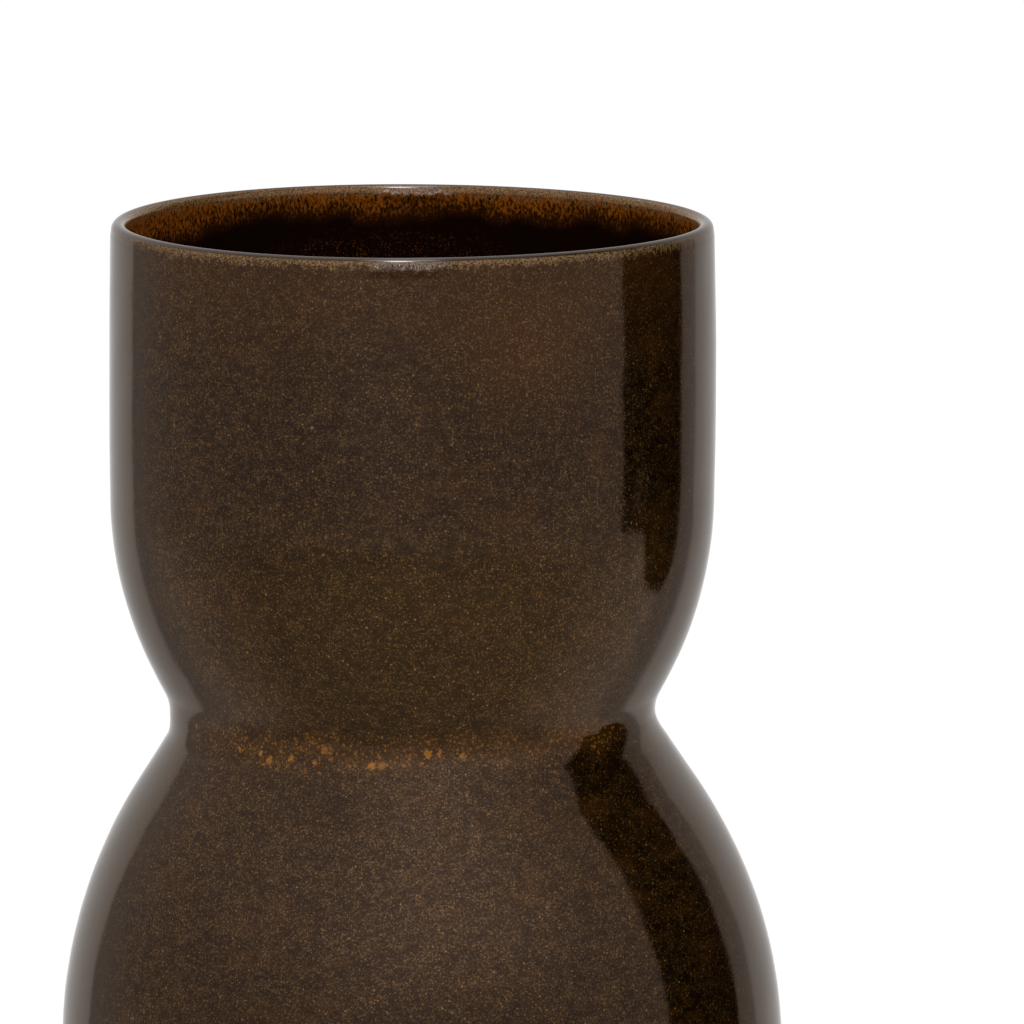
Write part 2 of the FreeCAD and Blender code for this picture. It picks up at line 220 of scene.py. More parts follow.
CURTAIN = 0.05  # how thick the outer glaze hangs in a curtain under the lip
FRONT_SAG = 0.20  # and in a sag at the middle of its front
WAIST_POOL = 0.10  # and in a pool over the waist
FOOT_ROLL = 0.22  # and in a roll at its lower edge
BACK_SAG = 0.15  # how thick the liner hangs in a sag at the middle of its back
TURNING_RING, TURNING_STEP = 0.03, 1.1  # the height and spacing of the rings on the bare foot


def hand_shape(across, up, azimuth):
    """Where the hand put a point of the section: the pot's leaning centre line and its roundness."""
    lean = np.sin(math.pi / 2 * np.clip((LEAN_TOP - up) / LEAN_DEPTH, 0.0, 1.0))
    drift = JOINT_STEP * (1.0 - ease(up, JOINT_LOW, JOINT_HIGH)) + BULB_LEAN * lean
    rim = ease(up, RIM_START, LIP_CREST)
    lobes = -RIM_LOBES * rim * np.sin(3 * azimuth)
    radius = across + (lobes + ripple(azimuth, up, BODY_WAVES)) * ease(across, 0.0, WAVES_START)
    x = radius * np.sin(azimuth) + drift + RIM_SHIFT * rim
    return np.stack([x, -radius * np.cos(azimuth), np.full_like(x, up)], 1)


def outer_relief(up, azimuth):
    """The thickness that the outer glaze gains or loses at a height."""
    skin = ripple(azimuth, up, SKIN_WAVES) + ripple(azimuth, up, THROWING_RINGS)
    below_lip = LIP_CREST - up
    wander = 0.35 * np.sin(5 * azimuth + 0.7) + 0.22 * np.sin(11 * azimuth + 2.1)
    curtain = CURTAIN * ease(below_lip, 2.0, 3.6 + wander) * (1.0 - ease(below_lip, 3.5, 14.0))
    front = 1.0 - ease(turned_by(azimuth, math.radians(-1.0)), 0.0, math.radians(10.0))
    ledge = 0.25 * np.sin(37 * azimuth + 1.0) + 0.15 * np.sin(53 * azimuth)
    sag = FRONT_SAG * front * ease(below_lip, 1.4 + ledge, 2.3 + ledge) * (1.0 - ease(below_lip, 2.6, 7.5))
    pool = WAIST_POOL * hill(up, WAIST - 4.0 + 0.8 * np.sin(4 * azimuth + 1.0), 7.0)
    roll = FOOT_ROLL * hill(up - FOOT_TOP, 1.9 + 0.4 * np.sin(6 * azimuth + 0.4), 2.4)
    settle = ease(below_lip, 1.2, 3.2) * ease(up - FOOT_TOP, 0.3, 1.2)
    return (EXTRA_COAT + skin + curtain + sag + pool + roll) * settle


def inner_relief(up, azimuth):
    """The same for the liner glaze, which is poured and runs more."""
    below_lip = LIP_CREST - up
    skin = ripple(azimuth, up, SKIN_WAVES) + 2.0 * ripple(azimuth, up, THROWING_RINGS)
    back = 1.0 - ease(turned_by(azimuth, math.radians(179.0)), 0.0, math.radians(9.0))
    ledge = 0.2 * np.sin(29 * azimuth) + 0.1 * np.sin(53 * azimuth)
    sag = BACK_SAG * back * ease(below_lip, 1.1 + ledge, 2.0 + ledge) * (1.0 - ease(below_lip, 2.3, 6.0))
    return (skin + sag) * ease(below_lip, 1.0, 3.0) * ease(up, 8.0, 16.0)


def foot_relief(up, azimuth):
    """Fine rings that the turning tool leaves on the bare foot."""
    rings = np.sin(2 * math.pi * up / TURNING_STEP + 0.4 * azimuth)
    return TURNING_RING * rings * ease(up, 0.4, 1.0)


def no_relief(up, azimuth):
    return np.zeros_like(azimuth)


def faces_out(normals):
    return normals[:, 0] > 0.0


def faces_in(normals):
    return (normals[:, 0] < 0.0) | (normals[:, 1] > 0.99)


# ---------------------------------------------------------------- meshes

COLUMNS = 280  # faces round a piece
FINE_ROW, WALL_ROW, HIDDEN_ROW = 0.25, 1.5, 4.0  # how far apart the rings of points are
FIRST_ROW = 0.05  # beside a joint, thin so that the shading runs on across it


def ring_places(curve, seen, zones):
    """Which points of a fine run become rings: close ones where it bends or meets another piece."""
    along = np.concatenate([[0.0], np.cumsum(np.hypot(*np.diff(curve, axis=0).T))])
    step = np.full(len(curve), WALL_ROW)
    for middle, reach in zones:
        near = 1.0 - ease(np.abs(curve[:, 1] - middle), reach, 2.2 * reach)
        step = np.minimum(step, WALL_ROW + (FINE_ROW - WALL_ROW) * near)
    step = np.where(seen, step, np.maximum(step, HIDDEN_ROW))
    to_end = np.minimum(along, along[-1] - along)
    step = np.minimum(step, FIRST_ROW + 0.5 * to_end)
    count = np.concatenate([[0.0], np.cumsum(np.diff(along) * 2 / (step[:-1] + step[1:]))])
    rings = max(1, round(count[-1]))
    return np.interp(np.linspace(0.0, count[-1], rings + 1), count, np.arange(len(curve)))


def make_piece(name, runs, closed, node, relief, seen_side, zones):
    """Turn a section once round the axis, with relief on the seen side and close rings in the zones."""
    azimuth = (np.arange(COLUMNS) + 0.5) * 2 * math.pi / COLUMNS - math.pi
    seen = [seen_side(normals) for _, normals in runs]
    rings = []
    for number, (curve, normals) in enumerate(runs):
        places = ring_places(curve, seen[number], zones)
        from_last = seen[number - 1][-1] and not seen[number][0]  # the seen run keeps a shared ring
        to_next = seen[number][-1] and not seen[(number + 1) % len(runs)][0]
        to_next = to_next or (not closed and number == len(runs) - 1)
        places = places[int(from_last):len(places) if to_next else -1]
        index = np.arange(len(curve))
        columns = [np.interp(places, index, values) for values in (*curve.T, *normals.T, seen[number])]
        for across, up, out_across, out_up, weight in zip(*columns):
            swell = weight * relief(up, azimuth)
            rings.append(hand_shape(across + swell * out_across, up + swell * out_up, azimuth))
    return add_mesh(name, rings, closed, node)


def add_mesh(name, rings, closed, node):
    """Join rings of points with faces, round a tube or between two points on the axis."""
    here = np.arange(COLUMNS)
    after = np.roll(here, -1)
    poles = []
    if not closed:
        poles = [rings[0].mean(0), rings[-1].mean(0)]
        rings = rings[1:-1]
    starts = np.arange(len(rings)) * COLUMNS
    pairs = list(zip(starts, np.roll(starts, -1))) if closed else list(zip(starts[:-1], starts[1:]))
    faces = []
    for low, high in pairs:
        faces.extend(np.stack([low + here, low + after, high + after, high + here], 1).tolist())
    points = np.concatenate(rings)
    if not closed:
        first_pole, last_pole = len(points), len(points) + 1
        points = np.vstack([points, poles])
        faces.extend([first_pole, b, a] for a, b in zip(here.tolist(), after.tolist()))
        faces.extend([last_pole, starts[-1] + a, starts[-1] + b] for a, b in zip(here, after))
    mesh = bpy.data.meshes.new(name)
    mesh.from_pydata((points * MM).tolist(), [], faces)
    mesh.shade_smooth()
    mesh.set_sharp_from_angle(angle=CORNER_TURN)
    piece = bpy.data.objects.new(name, mesh)
    bpy.context.scene.collection.objects.link(piece)
    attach(piece, "root")
    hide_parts(node)
    return piece


# ---------------------------------------------------------------- materials


class Nodes:
    """Short ways to wire up a node tree. A value may be a number, a colour or another node's output."""

    def __init__(self, tree):
        tree.nodes.clear()
        self.tree = tree

    def add(self, kind, inputs=None, **settings):
        node = self.tree.nodes.new(kind)
        for name, value in settings.items():
            setattr(node, name, value)
        for name, value in (inputs or {}).items():
            self.feed(node.inputs[name], value)
        return node

    def feed(self, socket, value):
        if isinstance(value, bpy.types.NodeSocket):
            self.tree.links.new(value, socket)
        elif isinstance(value, tuple) and len(value) == 3 and socket.type == "RGBA":
            socket.default_value = (*value, 1.0)
        else:
            socket.default_value = value

    def math(self, operation, *values):
        node = self.add("ShaderNodeMath", operation=operation)
        for socket, value in zip(node.inputs, values):
            self.feed(socket, value)
        return node.outputs[0]

    def product(self, *values):
        result = values[0]
        for value in values[1:]:
            result = self.math("MULTIPLY", result, value)
        return result

    def ease(self, value, low, high, start=0.0, end=1.0):
        """Run smoothly from start to end as the value goes from low to high."""
        node = self.add("ShaderNodeMapRange", interpolation_type="SMOOTHSTEP")
        for name, number in zip(("Value", "From Min", "From Max", "To Min", "To Max"),
                                (value, low, high, start, end)):
            self.feed(node.inputs[name], number)
        return node.outputs[0]

    def mix(self, factor, first, second):
        """A colour between two."""
        node = self.add("ShaderNodeMix", data_type="RGBA")
        for socket, value in ((node.inputs[0], factor), (node.inputs[6], first), (node.inputs[7], second)):
            self.feed(socket, value)
        return node.outputs[2]

    def blend(self, factor, first, second):
        """A number between two."""
        node = self.add("ShaderNodeMix", data_type="FLOAT")
        for socket, value in ((node.inputs[0], factor), (node.inputs[2], first), (node.inputs[3], second)):
            self.feed(socket, value)
        return node.outputs[0]

    def stretch(self, vector, x, y, z):
        node = self.add("ShaderNodeVectorMath", {0: vector, 1: (x, y, z)}, operation="MULTIPLY")
        return node.outputs[0]

    def noise(self, vector, size, detail=2.0, roughness=0.5, distortion=0.0):
        """Cloudy noise whose lumps are about a size across."""
        inputs = {"Vector": vector, "Scale": 1.0 / size, "Detail": detail, "Roughness": roughness,
                  "Distortion": distortion}
        return self.add("ShaderNodeTexNoise", inputs, noise_dimensions="3D").outputs[0]

    def cells(self, vector, size, randomness=1.0):
        """Grains about a size across: the distance from each one's middle, and a random colour for it."""
        inputs = {"Vector": vector, "Scale": 1.0 / size, "Randomness": randomness}
        node = self.add("ShaderNodeTexVoronoi", inputs, voronoi_dimensions="3D", feature="F1")
        return node.outputs["Distance"], node.outputs["Color"]

    def split(self, value, kind="ShaderNodeSeparateColor"):
        return self.add(kind, {0: value}).outputs[:3]

    def ramp(self, factor, stops):
        """A brightness that runs through stops of (place, level)."""
        node = self.add("ShaderNodeValToRGB", {0: factor})
        elements = node.color_ramp.elements
        while len(elements) < len(stops):
            elements.new(0.5)
        for element, (place, level) in zip(elements, stops):
            element.position = place
            element.color = (level, level, level, 1.0)
        return self.split(node.outputs[0])[0]


def new_material(name):
    material = bpy.data.materials.new(name)
    material.use_nodes = True
    nodes = Nodes(material.node_tree)
    place = nodes.add("ShaderNodeTexCoord").outputs["Object"]
    return material, nodes, nodes.stretch(place, *([1.0 / MM] * 3))


def finish_material(nodes, height, bump_depth, **inputs):
    """Add the surface itself. Bump heights are in millimetres."""
    bump = nodes.add("ShaderNodeBump", {"Height": height, "Distance": bump_depth, "Strength": 1.0})
    shader = nodes.add("ShaderNodeBsdfPrincipled", {"Normal": bump.outputs[0]})
    for name, value in inputs.items():
        nodes.feed(shader.inputs[name.replace("_", " ")], value)
    nodes.add("ShaderNodeOutputMaterial", {"Surface": shader.outputs[0]})


def grain_spots(nodes, vector, size, share, tight=0.30, loose=0.62):
    """Spots in a share of the grains, brighter in the middle of each, with a random value for each spot."""
    distance, colour = nodes.cells(vector, size)
    chance, other, _ = nodes.split(colour)
    limit = nodes.math("SUBTRACT", 1.0, share)
    chosen = nodes.ease(chance, limit, nodes.math("ADD", limit, 0.12))
    shape = nodes.ease(distance, tight, loose, 1.0, 0.0)
    return nodes.product(chosen, shape), other


GLAZE_DARK = (0.0095, 0.0043, 0.0016)
GLAZE_BODY = (0.025, 0.0115, 0.0034)
SPECK_TAN = (0.34, 0.185, 0.042)
SPECK_ORANGE = (0.46, 0.180, 0.026)
FLAKE_ORANGE = (0.72, 0.27, 0.035)
PIN_WHITE = (0.62, 0.50, 0.33)
SPARK_GOLD = (0.80, 0.46, 0.13)
LIP_TAN = (0.45, 0.270, 0.120)
LIP_SHADE = (0.050, 0.028, 0.012)
LINER_AMBER = (0.56, 0.155, 0.012)
LINER_BROWN = (0.045, 0.014, 0.0020)
LINER_DARK = (0.0120, 0.0038, 0.0015)
RUSTY = (0.105, 0.036, 0.007)
GLAZE_IOR = 3.4
MIRROR_DULL = (0.203, 0.131, 0.100)  # the glaze's own reflection, over what its refraction would give
MIRROR_SPECK = (0.90, 0.56, 0.31)  # the same on a metallic speck
MIRROR_SLANT = (0.268, 0.202, 0.150)  # the clear surface seen at a slant
MIRROR_CREST = (0.24, 0.20, 0.17)
MIRROR_CLEAR = (0.34, 0.31, 0.31)  # where the glaze has run thick and clear
RUST_BLOOM = (math.radians(23.0), 248.0, 68.0)  # azimuth, height and radius of a reddish patch on the cup

CLOUD_SIZE, PATCH_SIZE = 34.0, 3.2  # the specks crowd and thin in clouds, and in small patches in those
RUST_SIZE = 15.0  # reddish clouds in the ground colour
DUST_SIZE = 0.50
FINE_GRAIN, FINE_SHARE = 0.46, 0.62  # how far apart the places for specks are, and the share that is taken
COARSE_GRAIN, COARSE_SHARE = 0.74, 0.17
SPARK_GRAIN, SPARK_SHARE = 1.1, 0.06  # rare bright specks
PIN_GRAIN, PIN_SHARE = 3.2, 0.06  # rarer pale pin marks
AMBER_GRAIN, DOT_GRAIN, FLAKE_GRAIN = 0.72, 1.4, 2.6  # spots, dots and ragged flakes round the waist
SLANT_LOW, SLANT_HIGH = 0.35, 0.70  # 1 less the cosine of the slant, as the clear surface hides the rest
OUTER_CREST, LINER_CREST = 0.85, 0.45  # how far below the lip's top its bare dark crest ends
OUTER_TAN, LINER_TAN = 2.2, 2.8  # and the mealy tan band below it
FRONT_WIDTH = (0.06, 0.16)  # radians from the middle of the front or back, where the glaze has sagged
GLAZE_BUMP = 0.012
PEEL_BUMP, SPECK_BUMP, DRIP_BUMP = 0.35, 0.10, 46.0  # shares of it


def rust_bloom(nodes, place, patch):
    """1 in the middle of the reddish patch on the cup and 0 outside it."""
    azimuth, up, radius = RUST_BLOOM
    middle = (radius * math.sin(azimuth), -radius * math.cos(azimuth), up)
    away = nodes.add("ShaderNodeVectorMath", {0: place, 1: middle}, operation="SUBTRACT").outputs[0]
    away = nodes.stretch(away, 1.0, 1.0, 1.25)
    away = nodes.add("ShaderNodeVectorMath", {0: away}, operation="LENGTH").outputs["Value"]
    away = nodes.math("ADD", away, nodes.ease(patch, 0.3, 0.7, -5.0, 5.0))
    return nodes.ease(away, 2.0, 27.0, 1.0, 0.0)


def gold_and_bounce_zone(nodes, x, z):
    """1 low on the front and back of the cup, where the specks are thickest and where painted light lifts
    the colour in place of light bounced up from the table.
    """
    return nodes.product(
        nodes.ease(z, WAIST - 2.0, WAIST + 8.0), nodes.ease(z, WAIST + 34.0, WAIST + 62.0, 1.0, 0.0),
        nodes.ease(x, -52.0, -15.0, 0.40, 1.0), nodes.ease(x, 25.0, 52.0, 1.0, 0.45))


def glaze(name, inside):
    """Gloss dark brown glaze, dense with fine metallic tan specks, which breaks tan where it thins."""
    material, nodes, place = new_material(name)
    x, y, z = nodes.split(place, "ShaderNodeSeparateXYZ")
    below_lip = nodes.math("SUBTRACT", LIP_CREST, z)
    slant = nodes.add("ShaderNodeLayerWeight", {"Blend": 0.5}).outputs["Facing"]
    hidden = nodes.ease(slant, SLANT_LOW, SLANT_HIGH)
    cloud = nodes.noise(nodes.stretch(place, 1.0, 1.0, 1.4), CLOUD_SIZE, detail=3.0, distortion=0.6)
    patch = nodes.noise(nodes.stretch(place, 1.0, 1.0, 1.5), PATCH_SIZE, detail=3.0, roughness=0.65)
    streak = nodes.noise(nodes.stretch(place, 1.0, 1.0, 0.45), 1.3, detail=2.0, roughness=0.6)
    # This marks denser specks low on the cup. It is also painted light: a lift there in place of light
    # bounced up from the table.
    gold_and_bounce = 0.0 if inside else gold_and_bounce_zone(nodes, x, z)
    bloom = 0.0 if inside else rust_bloom(nodes, place, patch)

    crowd = nodes.math("ADD", nodes.ease(cloud, 0.36, 0.66, -0.02, 0.02),
                       nodes.ease(patch, 0.32, 0.68, -0.18, 0.18))
    fine_share = nodes.math("ADD", FINE_SHARE, crowd)
    coarse_share = nodes.math("ADD", COARSE_SHARE, nodes.product(crowd, 0.6))
    spark_share = nodes.math("ADD", SPARK_SHARE, nodes.product(gold_and_bounce, 0.08))
    fine, fine_hue = grain_spots(nodes, place, FINE_GRAIN, fine_share, 0.18, 0.60)
    coarse, coarse_hue = grain_spots(nodes, place, COARSE_GRAIN, coarse_share, 0.12, 0.46)
    sparks, _ = grain_spots(nodes, place, SPARK_GRAIN, spark_share, 0.10, 0.30)
    pins, _ = grain_spots(nodes, place, PIN_GRAIN, PIN_SHARE, 0.09, 0.16)
    fine = nodes.product(fine, nodes.ease(fine_hue, 0.1, 1.05, 0.10, 0.80))
    coarse = nodes.product(coarse, nodes.ease(coarse_hue, 0.3, 1.0, 0.25, 1.0))
    grain = nodes.noise(place, DUST_SIZE, detail=2.0, roughness=0.75)
    dust = nodes.product(nodes.ease(grain, 0.44, 0.70), nodes.ease(patch, 0.30, 0.70, 0.20, 0.60))
    specks = nodes.math("MAXIMUM", nodes.math("MAXIMUM", fine, coarse), dust)

    colour = nodes.mix(nodes.ease(patch, 0.35, 0.7), GLAZE_DARK, GLAZE_BODY)
    rust = nodes.noise(nodes.stretch(place, 1.0, 1.0, 1.8), RUST_SIZE, detail=3.0)
    colour = nodes.mix(nodes.ease(rust, 0.50, 0.74, 0.0, 0.30), colour, RUSTY)
    if not inside:
        colour = nodes.mix(nodes.product(bloom, 0.58), colour, RUSTY)
        colour = nodes.mix(nodes.ease(below_lip, 4.0, 32.0, 0.32, 0.0), colour, RUSTY)
        # Painted bounce light with denser specks: the low cup is drawn towards tan, and its specks are
        # brighter and more numerous.
        colour = nodes.mix(nodes.product(gold_and_bounce, 0.13), colour, SPECK_TAN)
    warm = nodes.math("MAXIMUM", nodes.ease(coarse_hue, 0.5, 0.95), nodes.product(bloom, 0.6))
    tan = nodes.mix(warm, SPECK_TAN, SPECK_ORANGE)
    brighter = nodes.math("ADD", nodes.product(gold_and_bounce, 0.75), nodes.product(bloom, 0.30))
    dusting = nodes.product(dust, nodes.math("ADD", 0.14, nodes.product(gold_and_bounce, 0.16)))
    colour = nodes.mix(dusting, colour, tan)
    colour = nodes.mix(nodes.product(fine, nodes.math("ADD", 0.48, brighter)), colour, tan)
    colour = nodes.mix(nodes.product(coarse, 0.80), colour, tan)
    colour = nodes.mix(nodes.product(sparks, 0.8), colour, SPARK_GOLD)
    colour = nodes.mix(nodes.product(pins, 0.9), colour, PIN_WHITE)
    mirror = nodes.mix(specks, MIRROR_DULL, MIRROR_SPECK)
    mirror = nodes.mix(nodes.product(hidden, 0.9), mirror, MIRROR_SLANT)

    raised = specks
    if inside:
        crystals = nodes.math("MAXIMUM", nodes.product(coarse, 0.55), nodes.product(fine, 0.50))
        aside = nodes.math("ABSOLUTE", nodes.math("ADD", x, 5.0))
        crystals = nodes.product(crystals, nodes.ease(patch, 0.25, 0.60),
                                 nodes.ease(cloud, 0.30, 0.50, 0.5, 1.0),
                                 nodes.ease(aside, 8.0, 34.0, 1.0, 0.10))
        colour = liner_colours(nodes, place, below_lip, colour, crystals)
    else:
        colour, raised = waist_colours(nodes, place, z, colour, raised)
    colour, mirror = lip_colours(nodes, place, below_lip, streak, inside, colour, mirror)

    off = nodes.math("ARCTAN2", x, y if inside else nodes.product(y, -1.0))
    front = nodes.ease(nodes.math("ABSOLUTE", off), *FRONT_WIDTH, 1.0, 0.0)
    brink = nodes.math("ADD", below_lip, nodes.ease(streak, 0.30, 0.70, -0.3, 0.3))
    drip = nodes.product(front, nodes.ease(brink, 1.3, 2.1), nodes.ease(brink, 2.2, 4.5, 1.0, 0.0))
    clear = nodes.product(front, nodes.ease(brink, 2.2, 2.8, 1.0, 0.0))
    mirror = nodes.mix(clear, mirror, MIRROR_CLEAR)
    if not inside:
        colour = nodes.mix(nodes.product(hidden, 0.80), colour, GLAZE_DARK)

    peel = nodes.noise(place, 2.6, detail=2.0)
    height = nodes.math("ADD", nodes.product(peel, PEEL_BUMP), nodes.product(raised, SPECK_BUMP))
    height = nodes.math("ADD", height, nodes.product(drip, DRIP_BUMP))
    dull = nodes.noise(place, 9.0, detail=3.0)
    roughness = nodes.math("ADD", nodes.ease(dull, 0.3, 0.7, 0.05, 0.09), nodes.product(raised, 0.10))
    finish_material(nodes, height, GLAZE_BUMP * MM, Base_Color=colour, Roughness=roughness, IOR=GLAZE_IOR,
                    Specular_Tint=mirror)
    return material


def lip_colours(nodes, place, below_lip, streak, inside, colour, mirror):
    """A bare dark crest on the lip, and under it a mealy tan band with a ragged lower edge."""
    crest_end = LINER_CREST if inside else OUTER_CREST
    crest = nodes.ease(below_lip, crest_end - 0.4, crest_end, 1.0, 0.0)
    colour = nodes.mix(crest, colour, GLAZE_BODY)
    mirror = nodes.mix(crest, mirror, MIRROR_CREST)
    mealy = nodes.noise(place, 0.42, detail=2.0, roughness=0.8)
    tan = nodes.mix(nodes.ease(mealy, 0.38, 0.60), LIP_TAN, LIP_SHADE)
    edge = nodes.math("ADD", below_lip, nodes.ease(streak, 0.25, 0.75, -0.9, 0.9))
    ragged = nodes.math("ADD", edge, nodes.ease(mealy, 0.35, 0.65, -0.8, 0.8))
    band = nodes.product(nodes.math("SUBTRACT", 1.0, crest),
                         nodes.ease(ragged, 1.2, LINER_TAN if inside else OUTER_TAN, 0.94, 0.0))
    return nodes.mix(band, colour, tan), mirror


def waist_colours(nodes, place, z, colour, raised):
    """Where the glaze pulls thin over the waist it breaks amber, with a few larger crystals of rust."""
    wander = nodes.noise(place, 12.0, detail=2.0)
    level = nodes.math("SUBTRACT", z, nodes.ease(wander, 0.3, 0.7, WAIST - 2.4, WAIST + 1.2))
    band = nodes.ease(nodes.math("ABSOLUTE", level), 0.5, 6.0, 1.0, 0.0)
    x, y, _ = nodes.split(place, "ShaderNodeSeparateXYZ")
    azimuth = nodes.math("ARCTAN2", x, nodes.product(y, -1.0))
    aside = nodes.ease(nodes.math("ABSOLUTE", azimuth), 0.80, 1.25, 1.0, 0.30)
    amber, amber_hue = grain_spots(nodes, place, AMBER_GRAIN, nodes.product(band, aside, 0.60), 0.20, 0.55)

    warped = nodes.product(nodes.noise(place, 0.7, detail=2.0), 1.9)
    ragged = nodes.add("ShaderNodeVectorMath", {0: place, 1: warped}, operation="ADD").outputs[0]
    busy = nodes.ease(nodes.math("ABSOLUTE", nodes.math("ADD", azimuth, 0.65)), 0.25, 1.6, 1.0, 0.3)
    near = nodes.ease(nodes.math("ABSOLUTE", nodes.math("ADD", level, 0.6)), 1.0, 4.6, 1.0, 0.0)
    share = nodes.product(near, busy, 0.30)
    flat = nodes.stretch(ragged, 1.0, 1.0, 0.8)
    flakes, flake_hue = grain_spots(nodes, flat, FLAKE_GRAIN, share, 0.30, 0.37)
    dots, _ = grain_spots(nodes, place, DOT_GRAIN, nodes.product(share, 1.5), 0.26, 0.40)

    colour = nodes.mix(nodes.product(band, aside, 0.12), colour, SPECK_ORANGE)
    amber_strength = nodes.product(amber, nodes.ease(amber_hue, 0.0, 1.0, 0.30, 1.0))
    colour = nodes.mix(amber_strength, colour, SPECK_ORANGE)
    colour = nodes.mix(nodes.product(dots, 0.7), colour, SPECK_ORANGE)
    flake_strength = nodes.product(flakes, nodes.ease(flake_hue, 0.0, 1.0, 0.7, 1.0))
    colour = nodes.mix(flake_strength, colour, FLAKE_ORANGE)
    return colour, nodes.math("ADD", raised, nodes.math("ADD", amber, nodes.product(flakes, 2.0)))


def liner_colours(nodes, place, below_lip, colour, specks):
    """Inside, the glaze is mottled amber under the lip and pools nearly black below."""
    mottle = nodes.noise(nodes.stretch(place, 1.0, 1.0, 0.55), 0.62, detail=3.0, roughness=0.75)
    wander = nodes.noise(nodes.stretch(place, 1.0, 1.0, 0.3), 9.0, detail=2.0)
    depth = nodes.math("ADD", below_lip, nodes.ease(wander, 0.25, 0.75, -1.3, 1.3))
    x, _, _ = nodes.split(place, "ShaderNodeSeparateXYZ")
    depth = nodes.math("ADD", depth, nodes.ease(x, -66.0, -30.0, -3.0, 0.0))
    dark = nodes.ease(depth, 2.0, 8.0, 0.01, 0.13)
    spots = nodes.ease(nodes.math("SUBTRACT", mottle, dark), 0.36, 0.60)
    strength = nodes.product(spots, nodes.ease(depth, 4.0, 8.5, 1.0, 0.25))
    amber = nodes.mix(strength, LINER_BROWN, LINER_AMBER)
    low = nodes.ease(below_lip, 8.0, 16.0)
    sparse = nodes.mix(nodes.product(specks, low), LINER_DARK, FLAKE_ORANGE)
    deep = nodes.mix(nodes.ease(below_lip, 70.0, 120.0, 0.0, 0.6), sparse, colour)
    return nodes.mix(nodes.ease(depth, 6.0, 9.5), amber, deep)


CLAY_BROWN, CLAY_DARK = (0.36, 0.22, 0.13), (0.20, 0.115, 0.065)
SLIP_BROWN, SLIP_DARK = (0.30, 0.18, 0.10), (0.17, 0.10, 0.055)
GROG_PALE = (0.62, 0.46, 0.32)
IRON_DARK = (0.035, 0.018, 0.010)
WORN_PALE = (0.55, 0.40, 0.28)  # where the foot has rubbed on a shelf
CLAY_BUMP, CLAY_IOR = 0.10, 1.45


def clay(name, colour, dark):
    """Bare fired stoneware: matt and sandy, with pale grog and dark spots of iron."""
    material, nodes, place = new_material(name)
    _, _, z = nodes.split(place, "ShaderNodeSeparateXYZ")
    sand = nodes.noise(place, 0.5, detail=4.0, roughness=0.7)
    cloud = nodes.noise(place, 16.0, detail=3.0)
    grog, hue = grain_spots(nodes, place, 1.3, 0.16, 0.12, 0.38)
    iron, _ = grain_spots(nodes, place, 3.4, 0.10, 0.05, 0.14)
    base = nodes.mix(nodes.ease(cloud, 0.3, 0.7, 0.0, 0.5), colour, dark)
    base = nodes.mix(nodes.ease(sand, 0.35, 0.7, 0.0, 0.45), base, dark)
    base = nodes.mix(nodes.product(grog, nodes.ease(hue, 0.0, 1.0, 0.1, 0.7)), base, GROG_PALE)
    base = nodes.mix(nodes.product(iron, 0.9), base, IRON_DARK)
    worn = nodes.ease(z, 0.0, 1.0, 0.35, 0.0)
    base = nodes.mix(worn, base, WORN_PALE)
    height = nodes.math("ADD", sand, nodes.product(grog, 0.8))
    roughness = nodes.ease(sand, 0.3, 0.7, 0.72, 0.92)
    finish_material(nodes, height, CLAY_BUMP * MM, Base_Color=base, Roughness=roughness, IOR=CLAY_IOR)
    return material


# ---------------------------------------------------------------- the pieces


COAT_CUT = WAIST - 0.9  # the height at which the outer coat is made in two pieces
outer_runs, _ = smooth_runs("outer_glaze")
outside_glaze = glaze("outside_glaze", inside=False)
liner_glaze = glaze("liner_glaze", inside=True)
bare_clay = clay("bare_stoneware", CLAY_BROWN, CLAY_DARK)
slip_clay = clay("fired_slip", SLIP_BROWN, SLIP_DARK)

OUTER_ZONES = ((LIP_CREST, 5.0), (WAIST, 6.0), (FOOT_TOP, 3.0))
PIECES = [
    ("outer_glaze_cup", cut_at(outer_runs, COAT_CUT, True), True, "outer_glaze", "outer_glaze",
     outer_relief, faces_out, OUTER_ZONES, outside_glaze),
    ("outer_glaze_bulb", cut_at(outer_runs, COAT_CUT, False), True, "outer_glaze", "outer_glaze",
     outer_relief, faces_out, OUTER_ZONES, outside_glaze),
    ("liner_glaze", *smooth_runs("inner_glaze"), "inner_glaze", "inner_glaze",
     inner_relief, faces_in, ((LIP_CREST, 5.0),), liner_glaze),
    ("thrown_cup", *smooth_runs("upper_cup"), "upper_cup", "stoneware_clay",
     no_relief, faces_out, ((LIP_CREST, 3.0),), bare_clay),
    ("thrown_bulb", *smooth_runs("lower_bulb"), "lower_bulb", "stoneware_clay",
     foot_relief, faces_out, ((FOOT_TOP / 2, 4.0),), bare_clay),
    ("slip_joint", *smooth_runs("waist_slip_seam"), "waist_slip_seam", "slip",
     no_relief, faces_out, (), slip_clay),
]
for name, runs, closed, node, slot, relief, seen_side, zones, material in PIECES:
    piece = make_piece(name, runs, closed, node, relief, seen_side, zones)
    piece.data.materials.append(material)


# ---------------------------------------------------------------- floor, studio and camera

FLOOR_RADIUS = 0.75
FLOOR_FADE = 0.30
FLOOR_SIDES = 96
FLOOR_GREY = (0.80, 0.80, 0.80)
FLOOR_GLOW = 0.52  # so that the table is as bright as the backdrop


